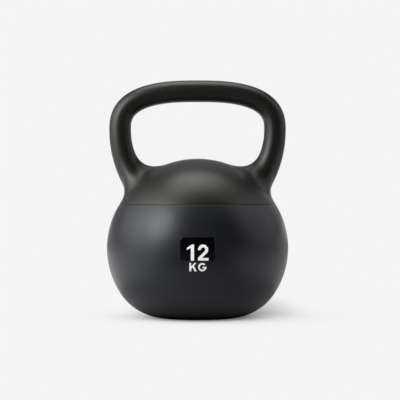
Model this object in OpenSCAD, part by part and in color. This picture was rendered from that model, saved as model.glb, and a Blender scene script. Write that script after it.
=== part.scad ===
// Kettlebell: a hollow iron casting with a solid looped handle, standing in a rubber base that
// covers the lower two thirds of the bell. Millimetres. The origin is at the middle of the
// underside, +Z is up, the handle's loop lies in the XZ plane, and the label faces -Y.

/* [Bell] */
// Largest diameter of the bell, over the rubber
bell_d = 208; // [200:1:216]
// Height of the bell's widest ring above the floor
bell_wide_h = 80; // [77:1:83]
// Radius of the bell's side, seen in profile
side_r = 95; // [90:1:100]
// Height of the seam between the iron dome and the rubber base
seam_h = 130; // [125:1:135]
// Height of the top of the iron dome
dome_top_h = 182.5; // [178:0.5:187]
// Diameter of the flat that the bell stands on
base_d = 74; // [66:1:82]

/* [Handle] */
// Overall height, from the floor to the top of the grip
total_h = 272.5; // [266:0.5:280]
// Diameter of the round grip
grip_d = 25; // [23:0.5:29]
// Overall width of the handle, over the outsides of its two horns
handle_w = 203; // [195:1:211]
// Height at which the handle is widest
handle_wide_h = 215; // [210:1:219]
// Squareness of the handle's upper half: 2 is an ellipse, and more is squarer
handle_square = 2.7; // [2.4:0.1:3.2]
// Distance along the dome from the seam up to the middle of each horn
root_rise = 31.5; // [29:0.5:35]
// Lean of each horn towards the middle where it enters the dome
root_lean = 39; // [30:1:44]
// Width of each horn where it enters the dome, seen from the front
root_w = 32; // [27:0.5:35]
// Depth of each horn where it enters the dome, front to back
root_t = 31; // [27:0.5:36]

/* [Handle Fillets] */
// Reach of the fillet up the inside of a horn, in the corner of the handle's window
inner_fillet_up = 33; // [26:1:38]
// Reach of the inside fillet along the dome
inner_fillet_out = 26; // [18:1:28]
// Reach of the fillet up the front and back of a horn
side_fillet_up = 22; // [14:1:28]
// Reach of the front and back fillets along the dome
side_fillet_out = 15; // [10:1:20]
// Reach of the fillet up the outside of a horn
outer_fillet_up = 13; // [8:1:20]
// Reach of the outside fillet along the dome
outer_fillet_out = 13; // [8:1:15]

/* [Iron Wall] */
// Thickness of the casting at the bell's widest ring
side_wall = 13; // [10:0.5:16]
// Thickness of the casting at the top of the dome
top_wall = 14; // [12:0.5:18]
// Thickness of the casting's floor
floor_wall = 15; // [12:0.5:18]
// Diameter of the flat under the casting
iron_base_d = 92; // [84:1:100]
// Diameter of the cavity's flat floor
cavity_base_d = 94; // [84:1:100]

/* [Core Hole And Plug] */
// Diameter of the hole in the casting's floor through which the sand core is emptied
core_hole_d = 38; // [30:1:42]
// Diameter of the pressed-steel cup plug, and of the counterbore that it is pressed into
plug_d = 46; // [44:1:50]
// Depth of that counterbore
plug_seat_depth = 8; // [7:0.5:9]
// Height of the plug's cup
plug_h = 7; // [5:0.5:7]
// Thickness of the plug's sheet
plug_sheet = 2; // [1.5:0.25:2.5]

/* [Rubber Base] */
// Thickness of the rubber round the side of the bell
rubber_wall = 7; // [6:0.5:9]
// Thickness of the rubber under the casting
rubber_floor = 10; // [8:0.5:12]
// Gap that the adhesive fills between the curved sides of rubber and iron
bond_gap = 0.3; // [0.2:0.05:0.5]
// Depth of the round groove along the seam
seam_groove = 0.7; // [0.4:0.1:1.2]
// Height of the bead inside the rubber's rim that locks into the casting
bead_h = 8; // [6:0.5:9]
// How far the bead stands into the casting
bead_depth = 2.5; // [1.5:0.25:3]
// Distance from the seam down to the bead's middle
bead_drop = 13; // [12:0.5:18]
// Diameter of the shallow hollow in the middle of the underside
hollow_d = 46; // [36:1:50]
// Depth of that hollow
hollow_depth = 1.5; // [1:0.25:2.5]

/* [Label] */
// Width of the gloss label that carries the weight mark
label_w = 37; // [30:1:44]
// Height of the label
label_h = 25; // [20:1:30]
// Height of the label's middle above the floor
label_mid_h = 82; // [76:1:88]
// Thickness of the label, which lies flush in a pocket of its own shape
label_t = 0.5; // [0.4:0.1:0.8]
// Radius of the label's corners
label_corner_r = 2; // [1:0.5:4]

/* [Hidden] */
$fn = 96;

iron_colour = [0.10, 0.10, 0.10];
steel_colour = [0.60, 0.60, 0.62];
rubber_colour = [0.15, 0.16, 0.17];
label_colour = [0.02, 0.02, 0.02];

past = 1; // how far a cut runs past the face that it opens, or a union into its neighbour
joint_lap = 2; // how far the side arc of a bowl runs past its joint with the edge arc

// The bell's outside: a side arc, upright at the widest ring, rises from the base to the seam, and
// above it the dome is the cap of a sphere that starts flush at the seam.
side_x = bell_d / 2 - side_r;
seam_r = side_x + sqrt(side_r * side_r - pow(seam_h - bell_wide_h, 2));
dome_rise = dome_top_h - seam_h;
dome_r = (seam_r * seam_r + dome_rise * dome_rise) / (2 * dome_rise);
dome_mid_h = dome_top_h - dome_r;

// The casting inside the rubber, and the cavity: a sphere through the dome's underside and the
// inside of the wall at the widest ring.
iron_side_r = side_r - rubber_wall - bond_gap;
iron_floor_h = rubber_floor;
cavity_wide_r = side_x + iron_side_r - side_wall;
cavity_rise = dome_top_h - top_wall - bell_wide_h;
cavity_r = (cavity_wide_r * cavity_wide_r + cavity_rise * cavity_rise) / (2 * cavity_rise);
cavity_mid_h = bell_wide_h + cavity_rise - cavity_r;

plug_bend = 1.5 * plug_sheet; // outside radius of the plug's pressed corner

// The handle's centreline: half a superellipse, then a curve down into the dome on each side.
grip_r = grip_d / 2;
handle_a = handle_w / 2 - grip_r;
handle_b = total_h - grip_r - handle_wide_h;
horn_sink = 9; // how far the centreline runs on below the dome's surface
horn_down = 36; // length of the curve's upper tangent
horn_back = 8; // length of the curve's lower tangent
dome_mid = [0, 0, dome_mid_h];
horn_top = [handle_a, 0, handle_wide_h];
root_angle = acos((seam_h - dome_mid_h) / dome_r) - root_rise / dome_r * 180 / PI;
horn_end = dome_mid + (dome_r - horn_sink) * [sin(root_angle), 0, cos(root_angle)];
horn_curve = [
    horn_top,
    horn_top - [0, 0, horn_down],
    horn_end + horn_back * [sin(root_lean), 0, cos(root_lean)],
    horn_end
];
horn_length = norm(horn_end - horn_top);

// How finely the handle's skin is drawn, and how its ends are hidden in the dome's wall.
section_sides = 36;
arch_steps = 20;
horn_steps = 8;
fillet_steps = 8;
halvings = 16; // steps of the search for the point where a line enters the dome
foot_sink = 0.5; // how far a fillet's foot dips below the dome's surface
stub_depth = 7; // how far the closed end of the handle lies below that surface
stub_taper = 0.7; // size of that end, of the fillet's foot

function unit(v) = v / norm(v);
function mixed(a, b, share) = a + (b - a) * share;
function eased(u) = u * u * (3 - 2 * u);

// ---- Profiles of round pieces ----

// The part of a circle that lies right of the axis, between two heights
module band(mid, r, low, high) {
    intersection() {
        translate(mid) circle(r = r);
        translate([0, low]) square([mid[0] + 2 * r, high - low]);
    }
}
// Half of a bowl: a flat floor, a side arc round [x, wide_h] up to a level rim, and an edge arc
// that is tangent to both. The side arc laps past their joint, where it stands a hair proud.
module bowl(x, wide_h, r, floor_h, floor_d, rim_h) {
    depth = wide_h - floor_h;
    edge_x = floor_d / 2;
    edge_r = (r * r - depth * depth - pow(edge_x - x, 2)) / (2 * (r - depth));
    edge_h = floor_h + edge_r;
    joint_h = wide_h - r * (wide_h - edge_h) / (r - edge_r);
    edge_top = joint_h - joint_lap / 2;
    band([x, wide_h], r, joint_h - joint_lap, rim_h);
    band([edge_x, edge_h], edge_r, floor_h, edge_top);
    translate([0, floor_h]) square([edge_x, edge_top - floor_h]);
}
// The casting's lower part, or with a gap the space for it
module iron_bowl(gap) {
    bowl(side_x, bell_wide_h, iron_side_r + gap, iron_floor_h, iron_base_d, seam_h + past);
}
// The ring inside the rubber's rim, or with a gap the groove for it
module lock_ring(gap) {
    rise = seam_h - bead_drop - bell_wide_h;
    reach = [sqrt(iron_side_r * iron_side_r - rise * rise), rise];
    mid = reach + (bead_h / 2 - bead_depth) * unit(reach);
    translate([side_x, bell_wide_h] + mid) circle(r = bead_h / 2 + gap);
}
module seam_ring() {
    translate([seam_r, seam_h]) circle(r = seam_groove);
}

// ---- The handle ----

function arch_point(angle) =
    let (r = pow(pow(cos(angle) / handle_a, handle_square) + pow(sin(angle) / handle_b, handle_square),
        -1 / handle_square))
    [r * cos(angle), 0, handle_wide_h + r * sin(angle)];
function arch_tangent(p) =
    unit([
        pow((p[2] - handle_wide_h) / handle_b, handle_square - 1) / handle_b,
        0,
        -pow(p[0] / handle_a, handle_square - 1) / handle_a
    ]);
function horn_point(u) =
    let (a = horn_curve, v = 1 - u)
    v * v * v * a[0] + 3 * v * v * u * a[1] + 3 * v * u * u * a[2] + u * u * u * a[3];
function horn_tangent(u) =
    let (a = horn_curve, v = 1 - u)
    unit(v * v * (a[1] - a[0]) + 2 * v * u * (a[2] - a[1]) + u * u * (a[3] - a[2]));
// A point of the skin round a point of the centreline. Turn 0 is the inside of the loop.
function skin(p, t, half_w, half_t, turn) =
    p + half_w * cos(turn) * [t[2], 0, -t[0]] + half_t * sin(turn) * [0, 1, 0];
function arch_skin(angle, turn) =
    let (p = arch_point(angle))
    skin(p, arch_tangent(p), grip_r, grip_r, turn);
function horn_skin(u, turn) =
    skin(horn_point(u), horn_tangent(u), mixed(grip_r, root_w / 2, eased(u)),
        mixed(grip_r, root_t / 2, eased(u)), turn);

// Where a line of the horn's skin, or with no turn its centreline, enters the dome
function horn_line(u, turn) = is_undef(turn) ? horn_point(u) : horn_skin(u, turn);
function entry(turn, low = 0, high = 1, left = halvings) =
    let (middle = (low + high) / 2)
    left == 0 ? middle
    : norm(horn_line(middle, turn) - dome_mid) > dome_r ? entry(turn, middle, high, left - 1)
    : entry(turn, low, middle, left - 1);
root = horn_point(entry(undef));

// A length that differs on the inside, the sides and the outside of a horn
function round_horn(inner, side, outer, turn) =
    side + (inner - outer) / 2 * cos(turn) + ((inner + outer) / 2 - side) * cos(turn) * cos(turn);
function on_dome(p, depth) = dome_mid + (dome_r - depth) * unit(p - dome_mid);

// One fillet line: where it leaves the horn, and the three points of the curve down to the dome
function fillet_line(turn) =
    let (
        u_edge = entry(turn),
        edge = horn_skin(u_edge, turn),
        u = u_edge - round_horn(inner_fillet_up, side_fillet_up, outer_fillet_up, turn) / horn_length,
        start = horn_skin(u, turn),
        along = unit(horn_skin(u + 0.01, turn) - start),
        out = round_horn(inner_fillet_out, side_fillet_out, outer_fillet_out, turn),
        foot = on_dome(edge + out * unit(edge - root), 0),
        normal = unit(foot - dome_mid),
        knee = start + along * ((foot - start) * normal) / (along * normal)
    )
    [u, start, knee, foot];
fillet_lines = [for (i = [0:section_sides - 1]) fillet_line(i * 360 / section_sides)];
function fillet_point(f, w) =
    (1 - w) * (1 - w) * f[1] + 2 * (1 - w) * w * f[2] + w * w * f[3]
        - foot_sink * w * w * unit(f[3] - dome_mid);

// Rings of skin points from the top of the loop down to the closed end inside the dome's wall
half_rings = concat(
    [for (k = [0:arch_steps - 1]) [for (i = [0:section_sides - 1])
        arch_skin(90 - k * 90 / arch_steps, i * 360 / section_sides)]],
    [for (k = [0:horn_steps - 1]) [for (i = [0:section_sides - 1])
        horn_skin(fillet_lines[i][0] * k / horn_steps, i * 360 / section_sides)]],
    [for (k = [0:fillet_steps]) [for (f = fillet_lines)
        fillet_point(f, k / fillet_steps)]],
    [[for (f = fillet_lines)
        on_dome(mixed(root, f[3], stub_taper), stub_depth)]]
);
function mirrored(p) = [-p[0], p[1], p[2]];
module handle() {
    rings = concat(
        [for (k = [len(half_rings) - 1:-1:1]) [for (p = half_rings[k]) mirrored(p)]],
        half_rings
    );
    n = section_sides;
    last = len(rings) - 1;
    end = on_dome(root, stub_depth);
    left_end = (last + 1) * n;
    right_end = left_end + 1;
    points = concat([for (ring = rings) each ring], [mirrored(end), end]);
    faces = concat(
        [for (k = [0:last - 1]) for (i = [0:n - 1]) let (j = (i + 1) % n) each [
            [k * n + i, (k + 1) * n + j, k * n + j],
            [k * n + i, (k + 1) * n + i, (k + 1) * n + j]
        ]],
        [for (i = [0:n - 1]) let (j = (i + 1) % n) each [
            [left_end, i, j],
            [right_end, last * n + j, last * n + i]
        ]]
    );
    polyhedron(points, faces);
}

// ---- The four pieces ----

// The iron casting: handle, dome and the bell's inside in one, hollowed by a sand core
module cast_body() {
    color(iron_colour) difference() {
        union() {
            rotate_extrude() difference() {
                union() {
                    band([0, dome_mid_h], dome_r, seam_h, dome_top_h);
                    iron_bowl(0);
                }
                lock_ring(bond_gap);
                seam_ring();
            }
            handle();
        }
        rotate_extrude()
            bowl(0, cavity_mid_h, cavity_r, iron_floor_h + floor_wall, cavity_base_d,
                cavity_mid_h + cavity_r);
        translate([0, 0, iron_floor_h - past])
            cylinder(d = core_hole_d, h = floor_wall + 2 * past);
        translate([0, 0, iron_floor_h - past])
            cylinder(d = plug_d, h = plug_seat_depth + past);
    }
}

// The cup plug, pressed in to the counterbore's step, with its rim down
module plug_outline(inset) {
    r = plug_d / 2 - inset;
    h = plug_h - inset;
    bend = plug_bend - inset;
    square([r, h - bend]);
    square([r - bend, h]);
    band([r - bend, h - bend], bend, h - bend, h);
}
module core_plug() {
    color(steel_colour)
        translate([0, 0, iron_floor_h + plug_seat_depth - plug_h])
            rotate_extrude() difference() {
                plug_outline(0);
                plug_outline(plug_sheet);
            }
}

// The rubber base, bonded and locked to the casting
module rubber_base() {
    color(rubber_colour) difference() {
        rotate_extrude() {
            difference() {
                bowl(side_x, bell_wide_h, side_r, 0, base_d, seam_h);
                iron_bowl(bond_gap);
                seam_ring();
                polygon([[0, 0], [hollow_d / 2, 0], [hollow_d / 2 - hollow_depth, hollow_depth],
                    [0, hollow_depth]]);
            }
            lock_ring(0);
        }
        label_shape();
    }
}

// The label follows the bell's skin, so that its face is flush with the rubber
module label_outline() {
    x = label_w / 2 - label_corner_r;
    y = label_h / 2 - label_corner_r;
    square([label_w, 2 * y], center = true);
    square([2 * x, label_h], center = true);
    for (side = [-1, 1], end = [-1, 1])
        translate([side * x, end * y]) circle(r = label_corner_r);
}
module label_shape() {
    intersection() {
        rotate_extrude() difference() {
            band([side_x, bell_wide_h], side_r, label_mid_h - label_h, label_mid_h + label_h);
            translate([side_x, bell_wide_h]) circle(r = side_r - label_t);
        }
        translate([0, 0, label_mid_h]) rotate([90, 0, 0])
            linear_extrude(bell_d) label_outline();
    }
}
module weight_label() {
    color(label_colour) label_shape();
}

cast_body();
core_plug();
rubber_base();
weight_label();
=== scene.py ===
import math

import bmesh
import bpy
import numpy as np
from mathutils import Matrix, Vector
from mathutils.geometry import delaunay_2d_cdt


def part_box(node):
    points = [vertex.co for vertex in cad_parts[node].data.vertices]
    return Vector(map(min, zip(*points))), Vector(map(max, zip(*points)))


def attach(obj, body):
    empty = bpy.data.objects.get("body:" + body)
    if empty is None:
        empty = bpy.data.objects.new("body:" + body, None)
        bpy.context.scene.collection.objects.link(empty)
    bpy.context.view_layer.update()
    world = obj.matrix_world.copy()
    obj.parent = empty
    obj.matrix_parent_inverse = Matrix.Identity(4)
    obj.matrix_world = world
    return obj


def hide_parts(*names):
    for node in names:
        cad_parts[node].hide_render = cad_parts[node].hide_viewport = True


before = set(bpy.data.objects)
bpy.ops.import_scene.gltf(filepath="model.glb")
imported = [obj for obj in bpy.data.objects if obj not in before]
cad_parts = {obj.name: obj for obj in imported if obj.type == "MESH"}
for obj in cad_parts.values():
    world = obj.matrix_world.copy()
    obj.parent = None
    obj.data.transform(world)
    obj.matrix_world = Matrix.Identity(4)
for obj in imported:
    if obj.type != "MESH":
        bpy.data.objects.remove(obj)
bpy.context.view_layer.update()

# ---- Rubber base ----
# A thick cup of solid rubber that covers the lower two thirds of the bell. It is moulded in one
# shot and bonded over the casting, and a round bead inside its rim locks into a groove in the
# iron. Its side and its bottom edge are two arcs that run into each other.
rubber_low, rubber_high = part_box("rubber_base")
cast_low, cast_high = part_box("cast_body")
bell_r = -rubber_low.x
seam_h = rubber_high.z
floor_h = cast_low.z              # top of the rubber's floor, which the iron stands on
side_r = 0.095                    # the bell's side, seen in profile
bell_wide_h = 0.080
bell_centre = (bell_r - side_r, bell_wide_h)
base_r = 0.037
hollow_r = 0.023
hollow_depth = 0.0015
rubber_wall = 0.007
bond_gap = 0.0003
iron_side_r = side_r - rubber_wall - bond_gap
iron_base_r = 0.046
bead_r = 0.004
bead_depth = 0.0025
bead_drop = 0.013
rim_r = 0.0005                    # rounding of the rubber's rim
rim_crack = 0.00005               # half of the crack that the seam leaves open
turn_segments = 256
bead_spacing = 0.001              # between points of the bead's arc
rounding_spacing = 0.0001         # the same, for the roundings at the seam
same_point = 1e-6                 # points closer than this become one


def arc(centre, radius, start, end, spacing=0.0024, fewest=4):
    """Points (distance from the axis, height) of an arc, both ends included."""
    count = max(fewest, math.ceil(abs(end - start) * radius / spacing) + 1)
    return [(centre[0] + radius * math.cos(a), centre[1] + radius * math.sin(a))
            for a in np.linspace(start, end, count)]


def bowl_wall(centre, radius, low, flat_r, end):
    """From the rim of a bowl's flat up its edge arc and its side arc, to an angle of the side arc."""
    depth = centre[1] - low
    edge_r = (radius**2 - depth**2 - (flat_r - centre[0])**2) / (2 * (radius - depth))
    joint = -math.asin((depth - edge_r) / (radius - edge_r))
    edge = arc((flat_r, low + edge_r), edge_r, -math.pi / 2, joint)
    return edge + arc(centre, radius, joint, end)[1:]


def bonded_wall(gap):
    """The wall where rubber and iron meet, up to the shoulder, with the lock ring in it. The iron's
    own wall has no gap."""
    wall_r = iron_side_r + gap
    ring_r = bead_r + bond_gap - gap
    rise = math.asin((seam_h - bead_drop - bell_centre[1]) / iron_side_r)
    reach = iron_side_r + bead_r - bead_depth
    ring = (bell_centre[0] + reach * math.cos(rise), bell_centre[1] + reach * math.sin(rise))
    opening = math.acos((wall_r**2 + reach**2 - ring_r**2) / (2 * wall_r * reach))
    swing = math.acos((reach**2 + ring_r**2 - wall_r**2) / (2 * reach * ring_r))
    shoulder = math.asin((seam_h - bell_centre[1]) / wall_r)
    inward = rise + math.pi
    return (bowl_wall(bell_centre, wall_r, floor_h, iron_base_r, rise - opening)
            + arc(ring, ring_r, inward + swing, inward - swing, bead_spacing)[1:]
            + arc(bell_centre, wall_r, rise + opening, shoulder)[1:])


def rubber_profile():
    """The cup's section, from the middle of the underside round to the middle of its floor."""
    rim_top = seam_h - rim_crack
    rise = math.asin((rim_top - rim_r - bell_centre[1]) / (side_r - rim_r))
    rim = (bell_centre[0] + (side_r - rim_r) * math.cos(rise), rim_top - rim_r)
    outside = bowl_wall(bell_centre, side_r, 0, base_r, rise)
    inside = bonded_wall(bond_gap)
    inside[-1] = (inside[-1][0], rim_top)
    return ([(0, hollow_depth), (hollow_r - hollow_depth, hollow_depth), (hollow_r, 0)]
            + outside + arc(rim, rim_r, rise, math.pi / 2, rounding_spacing)[1:]
            + inside[::-1] + [(0, floor_h)])


def turning_tree():
    """Turns a profile, drawn as a chain of edges in the XZ plane, round the Z axis."""
    tree = bpy.data.node_groups.new("turned_shell", "GeometryNodeTree")
    face = tree.interface
    face.new_socket("Profile", in_out="INPUT", socket_type="NodeSocketGeometry")
    face.new_socket("Segments", in_out="INPUT", socket_type="NodeSocketInt")
    face.new_socket("Merge Distance", in_out="INPUT", socket_type="NodeSocketFloat")
    face.new_socket("Material", in_out="INPUT", socket_type="NodeSocketMaterial")
    face.new_socket("Shell", in_out="OUTPUT", socket_type="NodeSocketGeometry")
    given = tree.nodes.new("NodeGroupInput")

    def node(kind, **links):
        new = tree.nodes.new(kind)
        for socket, source in links.items():
            target = new.inputs[int(socket[1:])] if socket[0] == "_" else new.inputs[socket]
            if isinstance(source, (int, float)):
                target.default_value = source
            else:
                tree.links.new(source, target)
        return new

    def math_node(operation, a, b=0.0):
        new = node("ShaderNodeMath", _0=a, _1=b)
        new.operation = operation
        return new.outputs[0]

    chain = node("GeometryNodeAttributeDomainSize", Geometry=given.outputs["Profile"])
    rows = chain.outputs["Point Count"]
    columns = math_node("ADD", given.outputs["Segments"], 1.0)
    grid = node("GeometryNodeMeshGrid", **{"Vertices X": columns, "Vertices Y": rows})
    index = node("GeometryNodeInputIndex").outputs[0]
    row = math_node("FLOORED_MODULO", index, rows)
    column = math_node("FLOOR", math_node("DIVIDE", math_node("ADD", index, 0.5), rows))
    angle = math_node("DIVIDE", math_node("MULTIPLY", column, math.tau), given.outputs["Segments"])
    sample = node("GeometryNodeSampleIndex")
    sample.data_type = "FLOAT_VECTOR"
    tree.links.new(given.outputs["Profile"], sample.inputs["Geometry"])
    tree.links.new(node("GeometryNodeInputPosition").outputs[0], sample.inputs["Value"])
    tree.links.new(row, sample.inputs["Index"])
    turned = node("ShaderNodeVectorRotate", Vector=sample.outputs[0], Angle=angle)
    turned.rotation_type = "Z_AXIS"
    placed = node("GeometryNodeSetPosition", Geometry=grid.outputs["Mesh"], Position=turned.outputs[0])
    merged = node("GeometryNodeMergeByDistance", Geometry=placed.outputs[0],
                  Distance=given.outputs["Merge Distance"])
    real = node("GeometryNodeRealizeInstances", Geometry=merged.outputs[0])
    painted = node("GeometryNodeSetMaterial", Geometry=real.outputs[0], Material=given.outputs["Material"])
    tree.links.new(painted.outputs[0], node("NodeGroupOutput").inputs["Shell"])
    return tree


turning = turning_tree()


def turned_shell(name, profile, material):
    """The plain mesh of a profile turned round the axis, as a bmesh."""
    chain = bpy.data.meshes.new(name + "_profile")
    chain.from_pydata([(r, 0, z) for r, z in profile], [(i, i + 1) for i in range(len(profile) - 1)], [])
    holder = bpy.data.objects.new(name + "_profile", chain)
    bpy.context.scene.collection.objects.link(holder)
    turn = holder.modifiers.new("turn", "NODES")
    turn.node_group = turning
    values = {"Segments": turn_segments, "Merge Distance": same_point, "Material": material}
    for item in turning.interface.items_tree:
        if item.in_out == "INPUT" and item.name in values:
            turn[item.identifier] = values[item.name]
    shown = bpy.context.evaluated_depsgraph_get()
    plain = bpy.data.meshes.new_from_object(holder.evaluated_get(shown))
    shell = bmesh.new()
    shell.from_mesh(plain)
    bpy.data.objects.remove(holder)
    bpy.data.meshes.remove(plain)
    return shell


def finished_piece(name, shell, material, sharp=40):
    """Closes and turns out a bmesh, and makes it an object that rides on the one body."""
    bmesh.ops.remove_doubles(shell, verts=shell.verts, dist=same_point)
    bmesh.ops.recalc_face_normals(shell, faces=shell.faces)
    mesh = bpy.data.meshes.new(name)
    shell.to_mesh(mesh)
    shell.free()
    mesh.materials.clear()
    mesh.materials.append(material)
    mesh.shade_smooth()
    mesh.set_sharp_from_angle(angle=math.radians(sharp))
    piece = bpy.data.objects.new(name, mesh)
    bpy.context.scene.collection.objects.link(piece)
    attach(piece, "root")
    return piece


def within(points, loop):
    """Which points of the plane lie inside a closed loop."""
    x, y = points[:, :1], points[:, 1:]
    a, b = loop, np.roll(loop, -1, 0)
    spans = (a[:, 1] > y) != (b[:, 1] > y)
    rise = np.where(a[:, 1] == b[:, 1], 1, b[:, 1] - a[:, 1])
    crossing = a[:, 0] + (y - a[:, 1]) * (b[:, 0] - a[:, 0]) / rise
    return ((spans & (x < crossing)).sum(1) % 2).astype(bool)


def clearance(points, loop):
    """How far each point of the plane lies from a closed loop."""
    a, along = loop, np.roll(loop, -1, 0) - loop
    offset = points[:, None] - a
    share = np.clip((offset * along).sum(2) / (along * along).sum(1), 0, 1)
    return np.linalg.norm(offset - share[..., None] * along, axis=2).min(1)


def filled(outer, holes, spacing):
    """Points and triangles that fill the plane between a loop and the holes in it."""
    loop_clearance = 0.6 * spacing
    tolerance = 1e-9
    sliver = 1e-10                    # triangles of less than half this area are only rounding
    loops = [np.array(loop, float) for loop in [outer, *holes]]
    low, high = loops[0].min(0), loops[0].max(0)
    rows = np.arange(low[1], high[1], spacing * math.sqrt(3) / 2)
    lattice = np.array([(x + spacing / 2 * (k % 2), y) for k, y in enumerate(rows)
                        for x in np.arange(low[0], high[0], spacing)]).reshape(-1, 2)
    keep = within(lattice, loops[0])
    for loop in loops[1:]:
        keep &= ~within(lattice, loop)
    for loop in loops:
        keep[keep] = clearance(lattice[keep], loop) > loop_clearance
    edges, first = [], 0
    for loop in loops:
        edges += [(first + i, first + (i + 1) % len(loop)) for i in range(len(loop))]
        first += len(loop)
    given = np.concatenate([*loops, lattice[keep]])
    points, _, faces = delaunay_2d_cdt(given.tolist(), edges, [], 0, tolerance)[:3]
    points = np.array([tuple(p) for p in points])
    faces = np.array(faces)
    centres = points[faces].mean(1)
    sides = points[faces[:, 1:]] - points[faces[:, :1]]
    kept = np.abs(np.linalg.det(sides)) > sliver
    kept &= within(centres, loops[0])
    for loop in loops[1:]:
        kept &= ~within(centres, loop)
    return points, faces[kept]


def add_faces(shell, points, faces):
    """Adds points and the faces between them."""
    verts = [shell.verts.new(p) for p in points]
    for face in faces:
        shell.faces.new([verts[i] for i in face])


def bell_front(x, z, inset=0.0):
    """The y of the bell's front skin, or of a surface that lies a little inside it."""
    reach = bell_centre[0] + np.sqrt((side_r - inset)**2 - (z - bell_centre[1])**2)
    return -np.sqrt(reach**2 - x**2)


def on_bell(points, inset=0.0):
    """Points (x, z) of the front view, laid on the bell."""
    points = np.array(points, float)
    return np.column_stack([points[:, 0], bell_front(points[:, 0], points[:, 1], inset), points[:, 1]])


def divided(loop, spacing):
    """A closed loop with its long stretches divided."""
    points = []
    for a, b in zip(loop, [*loop[1:], loop[0]]):
        count = max(1, math.ceil(math.dist(a, b) / spacing))
        points += [tuple(np.array(a) + (np.array(b) - np.array(a)) * k / count) for k in range(count)]
    return points


def round_rectangle(low, high, corner, spacing=0.0012, corner_spacing=0.0004):
    """The outline of a rectangle with round corners, as points (x, z)."""
    middles = [(high[0] - corner, high[1] - corner), (low[0] + corner, high[1] - corner),
               (low[0] + corner, low[1] + corner), (high[0] - corner, low[1] + corner)]
    loop = []
    for quarter, middle in enumerate(middles):
        start, end = quarter * math.pi / 2, (quarter + 1) * math.pi / 2
        loop += arc(middle, corner, start, end, corner_spacing)
    return divided(loop, spacing)


def add_band(shell, ring, other):
    """Joins two rings of as many points."""
    count = len(ring)
    steps = [(i, (i + 1) % count) for i in range(count)]
    add_faces(shell, [*ring, *other], [(i, k, count + k, count + i) for i, k in steps])


def sink_pocket(shell, low, high, corner, depth):
    """Sinks a pocket with round corners into the bell's front."""
    margin = 0.004                    # of skin round the pocket that is made anew
    skin_depth = 0.001                # what lies deeper than this isn't the skin
    spacing = 0.002
    window = [f for f in shell.faces for c in [f.calc_center_median()]
              if abs(c.x) < high[0] + margin and low[1] - margin < c.z < high[1] + margin
              and c.y < bell_front(c.x, c.z, skin_depth)]
    bmesh.ops.delete(shell, geom=window, context="FACES")
    edges = {e for e in shell.edges if len(e.link_faces) == 1}
    vert = min((v for e in edges for v in e.verts), key=lambda v: (v.co.z, v.co.x))
    rim = []
    while edges:
        edge = next(e for e in vert.link_edges if e in edges)
        edges.remove(edge)
        rim.append((vert.co.x, vert.co.z))
        vert = edge.other_vert(vert)
    opening = round_rectangle(low, high, corner)
    points, faces = filled(rim, [opening], spacing)
    add_faces(shell, on_bell(points), faces)
    add_band(shell, on_bell(opening), on_bell(opening, depth))
    points, faces = filled(opening, [], spacing)
    add_faces(shell, on_bell(points, depth), faces)


class Finish:
    """A material whose colour, roughness and grain follow patterns that are fixed to the piece."""

    def __init__(self, name):
        self.material = bpy.data.materials.new(name)
        self.material.use_nodes = True
        self.nodes, self.links = self.material.node_tree.nodes, self.material.node_tree.links
        self.skin = self.nodes["Principled BSDF"]
        self.place = self.nodes.new("ShaderNodeTexCoord").outputs["Object"]

    def noise(self, scale, detail=2):
        cloud = self.nodes.new("ShaderNodeTexNoise")
        cloud.inputs["Scale"].default_value = scale
        cloud.inputs["Detail"].default_value = detail
        self.links.new(self.place, cloud.inputs["Vector"])
        return cloud.outputs["Fac"]

    def colour(self, pattern, dark, light, start=0, end=1):
        tone = self.nodes.new("ShaderNodeValToRGB")
        first, last = tone.color_ramp.elements
        first.position, last.position = start, end
        first.color, last.color = (*dark, 1), (*light, 1)
        self.links.new(pattern, tone.inputs[0])
        self.links.new(tone.outputs[0], self.skin.inputs["Base Color"])

    def roughness(self, pattern, low, high):
        dull = self.nodes.new("ShaderNodeMapRange")
        dull.inputs["To Min"].default_value, dull.inputs["To Max"].default_value = low, high
        self.links.new(pattern, dull.inputs["Value"])
        self.links.new(dull.outputs[0], self.skin.inputs["Roughness"])

    def grain(self, pattern, strength, depth):
        bump = self.nodes.new("ShaderNodeBump")
        bump.inputs["Strength"].default_value = strength
        bump.inputs["Distance"].default_value = depth
        self.links.new(pattern, bump.inputs["Height"])
        self.links.new(bump.outputs[0], self.skin.inputs["Normal"])


def black_rubber():
    """Moulded rubber: a cool black with a dull skin and a very fine grain."""
    finish = Finish("black_rubber")
    dark, light = (0.0072, 0.0077, 0.0092), (0.0092, 0.0098, 0.0115)
    finish.colour(finish.noise(scale=28, detail=3), dark, light, start=0.35, end=0.65)
    finish.roughness(finish.noise(scale=60, detail=4), low=0.33, high=0.39)
    finish.grain(finish.noise(scale=2200), strength=0.12, depth=0.0001)
    finish.skin.inputs["Specular Tint"].default_value = (0.95, 0.97, 1.04, 1)
    return finish.material


label_low, label_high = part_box("weight_label")
label_corner = 0.002
label_depth = 0.0005
label_clearance = 0.0001
rubber = black_rubber()
base_shell = turned_shell("rubber_base_skin", rubber_profile(), rubber)
sink_pocket(base_shell, (label_low.x - label_clearance, label_low.z - label_clearance),
            (label_high.x + label_clearance, label_high.z + label_clearance),
            label_corner + label_clearance, label_depth)
base = finished_piece("rubber_base_skin", base_shell, rubber)
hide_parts("rubber_base")

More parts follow.
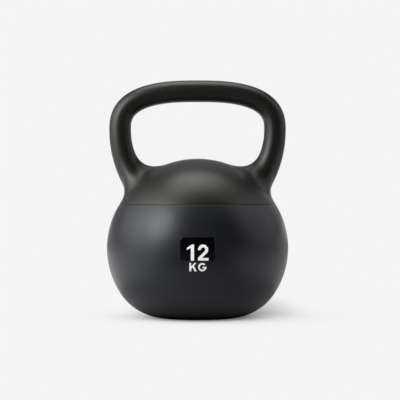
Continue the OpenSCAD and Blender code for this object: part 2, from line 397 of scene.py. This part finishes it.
# ---- Iron casting ----
# One hollow casting in grey iron: the solid looped grip, the dome, and below the seam the core
# that the rubber covers. The sand mould leaves wide fillets where the horns run into the dome.
# It is shot-blasted and powder-coated in a fine satin black.
dome_top = 0.1825
grip_r = 0.0125
handle_wide_h = 0.215
handle_square = 2.7               # power of the superellipse that the loop's upper part follows
root_rise = 0.0315                # from the seam up to the middle of a horn, along the dome
root_lean = math.radians(39)
root_half_w, root_half_t = 0.016, 0.0155      # of a horn's section where it meets the dome
fillet_up = (0.035, 0.038, 0.013)     # on the inside, the front and back, and the outside of a horn
fillet_out = (0.029, 0.019, 0.013)
horn_sink = 0.009                 # depth below the dome at which a horn's centreline ends
horn_down, horn_back = 0.036, 0.008   # how far the centreline is led at its top and at its end
lip_r = 0.0003
side_wall, top_wall, floor_wall = 0.013, 0.014, 0.015
cavity_base_r = 0.047
core_hole_r = 0.019
halvings = 30                     # in the search for where the horn's skin meets the dome
direction_step = 0.001            # how far along a horn two rings lie that give its direction
section_sides = 120
ring_spacing = 0.0024
dome_spacing = 0.0021

handle_a = cast_high.x - grip_r
handle_b = cast_high.z - grip_r - handle_wide_h
seam_r = bell_centre[0] + math.sqrt(side_r**2 - (seam_h - bell_centre[1])**2)
dome_rise = dome_top - seam_h
dome_r = (seam_r**2 + dome_rise**2) / (2 * dome_rise)
dome_mid = np.array([0, 0, dome_top - dome_r])
root_angle = math.acos((seam_h - dome_mid[2]) / dome_r) - root_rise / dome_r
horn_top = np.array([handle_a, 0, handle_wide_h])
horn_end = dome_mid + (dome_r - horn_sink) * np.array([math.sin(root_angle), 0, math.cos(root_angle)])
horn_lead = horn_back * np.array([math.sin(root_lean), 0, math.cos(root_lean)])
horn_curve = np.array([horn_top, horn_top - [0, 0, horn_down], horn_end + horn_lead, horn_end])
turns = np.arange(section_sides) * math.tau / section_sides      # turn 0 is the inside of the loop


def unit(v):
    """Vectors of the same direction, of length 1."""
    return v / np.linalg.norm(v, axis=-1, keepdims=True)


def skin_ring(point, tangent, half_w, half_t):
    """The skin round points of the handle's centreline, one for each turn."""
    tangent = unit(tangent)
    across = np.stack([tangent[..., 2], 0 * tangent[..., 0], -tangent[..., 0]], -1)
    return (point + (half_w * np.cos(turns))[:, None] * across
            + (half_t * np.sin(turns))[:, None] * np.array([0, 1, 0]))


def arch_ring(angle):
    """The skin round the grip's half of a superellipse, at an angle above the widest place."""
    power = handle_square
    r = ((math.cos(angle) / handle_a)**power + (math.sin(angle) / handle_b)**power)**(-1 / power)
    x, z = r * math.cos(angle), r * math.sin(angle)
    tangent = np.array([(z / handle_b)**(power - 1) / handle_b, 0, -(x / handle_a)**(power - 1) / handle_a])
    return skin_ring(np.array([x, 0, handle_wide_h + z]), tangent, grip_r, grip_r)


def horn_ring(u):
    """The skin round a horn, where u, from 0 to 1, may differ from turn to turn."""
    u = np.broadcast_to(u, turns.shape)[:, None]
    v = 1 - u
    a = horn_curve
    point = v**3 * a[0] + 3 * v**2 * u * a[1] + 3 * v * u**2 * a[2] + u**3 * a[3]
    tangent = v**2 * (a[1] - a[0]) + 2 * v * u * (a[2] - a[1]) + u**2 * (a[3] - a[2])
    ease = (u * u * (3 - 2 * u))[:, 0]
    half_w, half_t = (grip_r + (root_half - grip_r) * ease for root_half in (root_half_w, root_half_t))
    return skin_ring(point, tangent, half_w, half_t)


def round_horn(reach):
    """A length that differs on the inside, the front and back, and the outside of a horn. The
    inner one holds over the narrowest arc."""
    inner, side, outer = reach
    inside, outside = np.maximum(np.cos(turns), 0), np.maximum(-np.cos(turns), 0)
    return side + (inner - side) * inside**4 + (outer - side) * outside**2


def handle_rings():
    """Rings of skin from the top of the loop down to the fillet's foot on the dome."""
    low, high = np.zeros(section_sides), np.ones(section_sides)
    for _ in range(halvings):
        u = (low + high) / 2
        outside = np.linalg.norm(horn_ring(u) - dome_mid, axis=1) > dome_r
        low, high = np.where(outside, u, low), np.where(outside, high, u)
    edge = horn_ring(low)
    root = edge.mean(0)
    start_u = low - round_horn(fillet_up) / np.linalg.norm(horn_end - horn_top)
    start = horn_ring(start_u)
    along = unit(horn_ring(start_u + direction_step) - start)
    foot = dome_mid + dome_r * unit(edge + round_horn(fillet_out)[:, None] * unit(edge - root) - dome_mid)
    normal = unit(foot - dome_mid)
    knee = start + along * (((foot - start) * normal).sum(1) / (along * normal).sum(1))[:, None]
    rings = [arch_ring(a) for a in evenly(arch_ring, math.pi / 2, 0)[:-1]]
    rings += [horn_ring(start_u * k) for k in evenly(lambda k: horn_ring(start_u * k), 0, 1)[:-1]]

    def fillet_ring(w):
        return (1 - w)**2 * start + 2 * (1 - w) * w * knee + w**2 * foot

    return rings + [fillet_ring(w) for w in evenly(fillet_ring, 0, 1)]


def evenly(ring_at, first, last, samples=200, fewest=6):
    """Values from first to last at which the middles of the rings lie evenly spaced."""
    values = np.linspace(first, last, samples)
    middles = np.array([ring_at(value).mean(0) for value in values])
    walked = np.concatenate([[0], np.cumsum(np.linalg.norm(np.diff(middles, axis=0), axis=1))])
    count = max(fewest, math.ceil(walked[-1] / ring_spacing))
    return np.interp(np.linspace(0, walked[-1], count + 1), walked, values)


def casting_profile():
    """The turned part of the casting: from the dome's lip round the core and through its hole
    to the top of the cavity."""
    bottom = seam_h + rim_crack
    rise = math.asin((bottom + lip_r - dome_mid[2]) / (dome_r - lip_r))
    lip = ((dome_r - lip_r) * math.cos(rise), bottom + lip_r)
    lip_arc = [(dome_r * math.cos(rise), dome_mid[2] + dome_r * math.sin(rise))]
    lip_arc += arc(lip, lip_r, rise, -math.pi / 2, rounding_spacing)[1:]
    core = bonded_wall(0)[::-1]
    core[0] = (core[0][0], bottom)
    plug_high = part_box("core_plug")[1]
    cavity_floor = floor_h + floor_wall
    hole = [(plug_high.x, floor_h), (plug_high.x, plug_high.z),
            (core_hole_r, plug_high.z), (core_hole_r, cavity_floor)]
    wide_r = bell_centre[0] + iron_side_r - side_wall
    height = dome_top - top_wall - bell_centre[1]
    cavity_r = (wide_r**2 + height**2) / (2 * height)
    middle = (0, bell_centre[1] + height - cavity_r)
    cavity = bowl_wall(middle, cavity_r, cavity_floor, cavity_base_r, math.pi / 2)
    cavity[-1] = (0, cavity[-1][1])
    return lip_arc + core + hole + cavity


def add_handle_and_dome(shell, seam):
    """The skin of the whole loop, and the dome between the seam and the feet of both horns."""
    rings = handle_rings()
    mirror = np.array([-1, 1, 1])
    loops = [ring * mirror for ring in rings[:0:-1]] + rings
    for ring, other in zip(loops, loops[1:]):
        add_band(shell, ring, other)

    def flat(points):
        """Points of the dome on a map of it, at their true distance from its top."""
        out = unit(points - dome_mid)
        tilt = np.arccos(out[:, 2])
        return out[:, :2] * (dome_r * tilt / np.linalg.norm(out[:, :2], axis=1))[:, None]

    points, faces = filled(flat(seam), [flat(loops[0]), flat(loops[-1])], dome_spacing)
    nearly_none = 1e-12
    far = np.linalg.norm(points, axis=1)
    tilt = far / dome_r
    sideways = points * (np.sin(tilt) / np.maximum(far, nearly_none))[:, None]
    add_faces(shell, dome_mid + dome_r * np.column_stack([sideways, np.cos(tilt)]), faces)


def powder_coat():
    """Fine satin powder coat on cast iron: a neutral black with a faint orange peel."""
    finish = Finish("powder_coat")
    dark, light = (0.0050, 0.0049, 0.0044), (0.0066, 0.0065, 0.0059)
    finish.colour(finish.noise(scale=22, detail=3), dark, light, start=0.35, end=0.65)
    finish.roughness(finish.noise(scale=45, detail=4), low=0.35, high=0.41)
    finish.grain(finish.noise(scale=900), strength=0.15, depth=0.00012)
    finish.skin.inputs["Specular Tint"].default_value = (1, 1, 0.96, 1)
    return finish.material


coat = powder_coat()
cast_shell = turned_shell("casting", casting_profile(), coat)
lip_edge = sorted({v for e in cast_shell.edges if len(e.link_faces) == 1 for v in e.verts},
                  key=lambda v: math.atan2(v.co.y, v.co.x))
add_handle_and_dome(cast_shell, np.array([v.co[:] for v in lip_edge]))
casting = finished_piece("iron_casting", cast_shell, coat)
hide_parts("cast_body")

# ---- Core plug ----
# A shallow cup pressed from steel sheet. It closes the hole that the sand core was emptied
# through, is pressed into its counterbore with its rim down, and the rubber's floor covers it.


def pressed_steel():
    """Bare pressed sheet, with the fine rings that the press tool leaves."""
    finish = Finish("pressed_steel")
    rings = finish.nodes.new("ShaderNodeTexWave")
    rings.wave_type, rings.rings_direction = "RINGS", "Z"
    rings.inputs["Scale"].default_value = 900
    rings.inputs["Distortion"].default_value = 1.5
    finish.links.new(finish.place, rings.inputs["Vector"])
    finish.colour(rings.outputs["Fac"], dark=(0.50, 0.50, 0.51), light=(0.62, 0.62, 0.63))
    finish.roughness(rings.outputs["Fac"], low=0.28, high=0.40)
    finish.skin.inputs["Metallic"].default_value = 1
    return finish.material


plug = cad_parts["core_plug"]
plug.data.materials.clear()
plug.data.materials.append(pressed_steel())

# ---- Weight label ----
# A gloss black plastic label that lies flush in its own pocket in the rubber, with the weight
# mark in white ink: the number on the label, and the unit on the rubber right below it.
label_inset = 0.00008             # the label's face lies this far below the bell's skin
label_edge = 0.00015              # rounding of its edge
ink_inset = 0.00002               # the same, for the face of the ink on the label
letter_lift = 0.00004             # how far the ink on the rubber stands proud
ink_bevel = 0.00002
ink_bite = 0.00008                # how far the ink reaches into what it is printed on
ink_spacing = 0.0009
label_spacing = 0.0015
bend_spacing = 0.0007             # between points of a figure's bends


def shrunk(loop, by):
    """A closed loop that runs anticlockwise, moved inwards."""
    loop = np.array(loop)
    along = unit(np.roll(loop, -1, 0) - np.roll(loop, 1, 0))
    return loop + by * np.column_stack([-along[:, 1], along[:, 0]])


def add_plate(shell, loop, front, back, edge, spacing):
    """A thin closed plate that follows the bell between two insets, with a bevelled edge."""
    face_loop = shrunk(loop, edge)
    points, faces = filled(face_loop, [], spacing)
    add_faces(shell, on_bell(points, front), faces)
    add_band(shell, on_bell(face_loop, front), on_bell(loop, front + edge))
    add_band(shell, on_bell(loop, front + edge), on_bell(loop, back))
    points, faces = filled(loop, [], spacing)
    add_faces(shell, on_bell(points, back), faces)


def gloss_film():
    """Black gloss plastic, with the slight waviness that a film has on a curved face."""
    finish = Finish("gloss_film")
    waves = finish.noise(scale=120)
    finish.colour(waves, dark=(0.0012, 0.0012, 0.0018), light=(0.0020, 0.0020, 0.0028))
    finish.roughness(waves, low=0.10, high=0.18)
    finish.skin.inputs["Specular IOR Level"].default_value = 0.35
    return finish.material


def white_ink():
    """Screen-printed white ink, a touch uneven where the mesh laid it down."""
    finish = Finish("white_ink")
    specks = finish.noise(scale=700, detail=3)
    finish.colour(specks, dark=(0.84, 0.85, 0.86), light=(0.92, 0.93, 0.94))
    finish.skin.inputs["Roughness"].default_value = 0.55
    return finish.material


def figure_one(height, width, stem, flag_drop, flag_h):
    """The outline of a 1, anticlockwise, from its lower left corner."""
    left = width - stem
    flag_top = height - flag_drop
    return [(left, 0), (width, 0), (width, height), (left + stem * 0.35, height),
            (0, flag_top), (0, flag_top - flag_h), (left, flag_top - flag_h * 0.1)]


def figure_two(height, width, stroke, bar):
    """The outline of a 2: a round head, a stroke at 45 degrees that runs on from it, and a bar."""
    outer = width / 2
    head = (outer, height - outer)
    down, end = -math.pi / 4, math.pi * 1.03
    corner = (head[0] + outer * math.cos(down), head[1] + outer * math.sin(down))
    inner = (head[0] + (outer - stroke) * math.cos(down), head[1] + (outer - stroke) * math.sin(down))
    bar_end = width + stroke * 0.1
    loop = [(0, 0), (bar_end, 0), (bar_end, bar), (corner[0] - corner[1] + bar, bar)]
    loop += arc(head, outer, down, end, bend_spacing)
    loop += arc(head, outer - stroke, end, down, bend_spacing)
    return loop + [(0, inner[1] - inner[0])]


def letter_k(height, width, stem):
    """The outline of a K, whose arm and leg are a little thicker than its stem."""
    slope = 1.15
    reach = stem * 1.17               # level width of the arm and the leg
    fork_h = height * 0.47
    step = reach * 0.62               # from the fork to where the leg leaves the arm
    arm_end = width - 0.0003
    arm = height - (arm_end - reach - stem) * slope
    fork = (stem + (fork_h - arm + reach * slope) / slope, fork_h)
    return [(0, 0), (stem, 0), (stem, arm - reach * slope), fork, (width - reach, 0), (width, 0),
            (fork[0] + step, fork[1] + step * slope), (arm_end, height),
            (arm_end - reach, height), (stem, arm), (stem, height), (0, height)]


def letter_g(height, stroke):
    """The outline of a G on two circles, with a bar that reaches in to its middle."""
    outer = height / 2
    inner = outer - stroke
    bar_top, bar_low = stroke * 0.22, -stroke * 0.62
    bar_start = outer * 1.05
    mouth = math.radians(46)
    spacing = 0.0006
    loop = arc((outer, outer), outer, mouth, math.tau + math.asin(bar_top / outer), spacing)
    loop += [(bar_start, outer + bar_top), (bar_start, outer + bar_low)]
    loop += arc((outer, outer), inner, math.tau + math.asin(bar_low / inner), mouth, spacing)
    return loop


def moved(loop, x, z):
    """An outline, shifted on the front view."""
    return [(px + x, pz + z) for px, pz in loop]


film = gloss_film()
label_shell = bmesh.new()
outline = round_rectangle((label_low.x, label_low.z), (label_high.x, label_high.z), label_corner)
add_plate(label_shell, outline, label_inset, label_depth - label_inset, label_edge, label_spacing)
label = finished_piece("weight_label_plate", label_shell, film)
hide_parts("weight_label")

ink = white_ink()
number_h, unit_h = 0.0174, 0.0092
number_low, unit_low = label_low.z, 0.0578
marks = {
    "weight_number": (ink_inset, label_inset + ink_bite, [
        moved(figure_one(number_h, width=0.0077, stem=0.0036, flag_drop=0.0035, flag_h=0.0023),
              x=-0.0113, z=number_low),
        moved(figure_two(number_h, width=0.0111, stroke=0.0032, bar=0.0029), x=0.0006, z=number_low)]),
    "weight_unit": (-letter_lift, ink_bite, [
        moved(letter_k(unit_h, width=0.0080, stem=0.0020), x=-0.0087, z=unit_low),
        moved(letter_g(unit_h, stroke=0.0019), x=0.0007, z=unit_low)]),
}
for name, (front, back, outlines) in marks.items():
    shell = bmesh.new()
    for loop in outlines:
        add_plate(shell, divided(loop, ink_spacing), front, back, ink_bevel, ink_spacing)
    piece = finished_piece(name, shell, ink)

# ---- Floor, light and camera ----
# A pale sweep without a horizon. It shines at its backdrop's even tone, and its own material works
# out the soft shadow under and behind the bell. Large soft lamps stand at the left, over the bell,
# at the right and behind it, and a low glow comes off the floor, least of all in front.
backdrop_tone = 0.905
shadow_reach = 0.14
light_lean = (-0.23, -0.28, 0.93)     # the way the light comes from, for the shadow on the floor
shadow_fall = 2.5                     # how fast the shadow thins out
back_shadow = 0.55                    # how much light the bell keeps off the floor behind it
back_shadow_middle = 0.022
back_shadow_width = (0.03, 0.12)      # from its middle to where it starts to fade, and to its edge
back_shadow_near = (-0.01, 0.08)      # where it starts under the bell, and where it is full
back_shadow_far = (0.13, 0.45)        # where it starts to fade behind the bell, and where it ends
near_glow = 0.42                      # of the far glow's strength
near_glow_start = (0.05, 0.10)        # distances from the bell's axis over which it comes up
near_glow_end = (0.17, 0.28)          # and over which it dies away
far_glow_start = (0.12, 0.26)
far_glow_front = (-0.95, -0.45)       # Y of the direction at which it is faintest, and full again
front_glow = 0.12                     # what is left of the far glow in front
glow_sides = (1.2, 0.7)               # strength at the left and at the right

scene = bpy.context.scene
scene.view_settings.view_transform = "Standard"
world = bpy.data.worlds.new("backdrop")
world.use_nodes = True
world.node_tree.nodes["Background"].inputs["Color"].default_value = (1, 1, 1, 1)
world.node_tree.nodes["Background"].inputs["Strength"].default_value = backdrop_tone
scene.world = world
world.cycles_visibility.diffuse = False
world.cycles_visibility.glossy = False


def stage_disc(name, height, radius, material):
    """A flat disc that belongs to the stage."""
    shell = bmesh.new()
    bmesh.ops.create_circle(shell, cap_ends=True, radius=radius, segments=64)
    bmesh.ops.translate(shell, vec=(0, 0, height), verts=shell.verts)
    mesh = bpy.data.meshes.new(name)
    shell.to_mesh(mesh)
    shell.free()
    mesh.materials.append(material)
    disc = bpy.data.objects.new(name, mesh)
    scene.collection.objects.link(disc)
    return disc


class StageLight:
    """A stage material that only shines, as bright as what its nodes work out."""

    def __init__(self, name):
        self.material = bpy.data.materials.new(name)
        self.material.use_nodes = True
        self.nodes, self.links = self.material.node_tree.nodes, self.material.node_tree.links
        self.nodes.clear()
        self.place = self.nodes.new("ShaderNodeTexCoord").outputs["Object"]

    def vector(self, operation, source, output="Vector"):
        node = self.nodes.new("ShaderNodeVectorMath")
        node.operation = operation
        self.links.new(source, node.inputs[0])
        return node.outputs[output]

    def number(self, operation, *sources):
        node = self.nodes.new("ShaderNodeMath")
        node.operation = operation
        for socket, source in zip(node.inputs, sources):
            if isinstance(source, (int, float)):
                socket.default_value = source
            else:
                self.links.new(source, socket)
        return node.outputs[0]

    def eased(self, value, start, end, low, high):
        node = self.nodes.new("ShaderNodeMapRange")
        node.interpolation_type = "SMOOTHSTEP"
        limits = {"From Min": start, "From Max": end, "To Min": low, "To Max": high}
        for socket, limit in limits.items():
            node.inputs[socket].default_value = limit
        self.links.new(value, node.inputs["Value"])
        return node.outputs["Result"]

    def shining(self, strength):
        emission = self.nodes.new("ShaderNodeEmission")
        output = self.nodes.new("ShaderNodeOutputMaterial")
        self.links.new(strength, emission.inputs["Strength"])
        self.links.new(emission.outputs[0], output.inputs["Surface"])
        return self.material


def paper_sweep():
    """The backdrop's tone, less the shadow round the bell's foot and the fainter one behind it."""
    paper = StageLight("paper_sweep")
    sky = paper.nodes.new("ShaderNodeAmbientOcclusion")
    sky.samples = 16                  # enough that the shadow isn't grainy
    sky.inputs["Distance"].default_value = shadow_reach
    lean = paper.nodes.new("ShaderNodeCombineXYZ")
    for socket, part in zip(lean.inputs, light_lean):
        socket.default_value = part
    paper.links.new(lean.outputs[0], sky.inputs["Normal"])
    hidden = paper.number("SUBTRACT", 1, sky.outputs["AO"])
    light = paper.number("SUBTRACT", 1, paper.number("POWER", hidden, shadow_fall))
    split = paper.nodes.new("ShaderNodeSeparateXYZ")
    paper.links.new(paper.place, split.inputs[0])
    offset = paper.number("SUBTRACT", split.outputs["X"], back_shadow_middle)
    across = paper.eased(paper.number("ABSOLUTE", offset), *back_shadow_width, 1, 0)
    near = paper.eased(split.outputs["Y"], *back_shadow_near, 0, 1)
    far = paper.eased(split.outputs["Y"], *back_shadow_far, 1, 0)
    faint = paper.number("MULTIPLY", paper.number("MULTIPLY", near, far), across)
    kept = paper.number("SUBTRACT", 1, paper.number("MULTIPLY", faint, back_shadow))
    light = paper.number("MULTIPLY", light, kept)
    return paper.shining(paper.number("MULTIPLY", light, backdrop_tone))


def floor_glow():
    """Light off the floor: a ring near the bell, and a wider one that is faint in front."""
    glow = StageLight("floor_glow")
    split = glow.nodes.new("ShaderNodeSeparateXYZ")
    glow.links.new(glow.vector("NORMALIZE", glow.place), split.inputs[0])
    away = glow.vector("LENGTH", glow.place, output="Value")
    near = glow.number("MULTIPLY", glow.eased(away, *near_glow_start, 0, near_glow),
                       glow.eased(away, *near_glow_end, 1, 0))
    far = glow.number("MULTIPLY", glow.eased(away, *far_glow_start, 0, 1),
                      glow.eased(split.outputs["Y"], *far_glow_front, front_glow, 1))
    sideways = glow.eased(split.outputs["X"], -1, 1, *glow_sides)
    return glow.shining(glow.number("MULTIPLY", glow.number("ADD", near, far), sideways))


floor = stage_disc("floor", height=0, radius=4, material=paper_sweep())
floor.visible_diffuse = floor.visible_glossy = False
glow = stage_disc("floor_glow", height=0.0004, radius=2.5, material=floor_glow())
glow.visible_camera = glow.visible_shadow = False


def add_lamp(name, direction, distance, size, brightness, mirrored=True):
    """A soft light that faces the bell, seen from it in the given direction."""
    lamp = bpy.data.lights.new(name, "AREA")
    lamp.shape = "ELLIPSE"
    lamp.size, lamp.size_y = size
    area = size[0] * size[1] * math.pi / 4
    lamp.energy = brightness * math.pi * area
    holder = bpy.data.objects.new(name, lamp)
    turn, rise = (math.radians(a) for a in direction)
    way = Vector((math.sin(turn) * math.cos(rise), -math.cos(turn) * math.cos(rise), math.sin(rise)))
    holder.location = Vector((0, 0, bell_centre[1])) + way * distance
    holder.rotation_euler = way.to_track_quat("Z", "Y").to_euler()
    holder.visible_camera = False
    holder.visible_glossy = mirrored
    scene.collection.objects.link(holder)


# Directions are turned from the front, to the right, and raised above the floor. The left soft box
# is brightest in its middle, so it is a few sheets of light, one inside the other. The fill in
# front lights the bell but isn't mirrored in it.
add_lamp("left_box", (-75, 30), 1.35, (2.6, 2.1), 0.76)
add_lamp("left_box_back_edge", (-95, 25), 1.35, (1.0, 1.4), 0.46)
add_lamp("left_box_wide", (-68, 27), 1.3, (1.5, 1.3), 1.28)
add_lamp("left_box_middle", (-60, 27), 1.3, (1.0, 1.0), 0.84)
add_lamp("left_box_core", (-52, 30), 1.3, (0.6, 0.8), 3.7)
add_lamp("left_box_top", (-60, 55), 1.3, (0.8, 0.8), 0.6)
add_lamp("top_box", (180, 84), 1.22, (0.9, 0.9), 1.78)
add_lamp("top_box_left", (-101, 78), 1.25, (0.8, 0.7), 1.86)
add_lamp("top_box_right", (108, 75), 1.26, (0.8, 0.8), 0.95)
add_lamp("right_box", (92, 27), 1.5, (1.7, 1.4), 0.68)
add_lamp("right_box_top", (75, 50), 1.4, (0.8, 0.8), 0.42)
add_lamp("backdrop_high", (180, 45), 1.8, (1.6, 0.9), 0.45)
add_lamp("backdrop_middle", (180, 22), 1.8, (1.4, 0.9), 0.2)
add_lamp("backdrop_low", (180, 10), 1.8, (1.0, 0.6), 1.22)
add_lamp("backdrop_foot", (180, 3), 1.8, (1.6, 0.3), 1.1)
add_lamp("backdrop_left", (-150, 18), 1.8, (1.0, 1.0), 0.32)
add_lamp("backdrop_right", (150, 18), 1.8, (1.0, 1.0), 0.55)
add_lamp("left_back_light", (-120, 20), 1.6, (0.8, 1.0), 0.22)
add_lamp("right_back_light", (120, 20), 1.6, (0.8, 1.0), 0.15)
add_lamp("left_horizon", (-140, 3), 1.8, (1.8, 0.25), 0.46)
add_lamp("right_horizon", (140, 3), 1.8, (1.8, 0.25), 0.67)
add_lamp("front_fill", (0, 12), 1.6, (1.6, 1.0), 2.8, mirrored=False)

sensor_width = 36
camera_distance = 1.7
view_width = 0.46                 # what the camera takes in, at the bell's axis
view_middle = (0.0028, 0.135)
camera_data = bpy.data.cameras.new("camera")
camera_data.sensor_width = sensor_width
camera_data.lens = sensor_width * camera_distance / view_width
camera = bpy.data.objects.new("camera", camera_data)
camera.location = (view_middle[0], -camera_distance, view_middle[1])
camera.rotation_euler = (math.pi / 2, 0, 0)
scene.collection.objects.link(camera)
scene.camera = camera
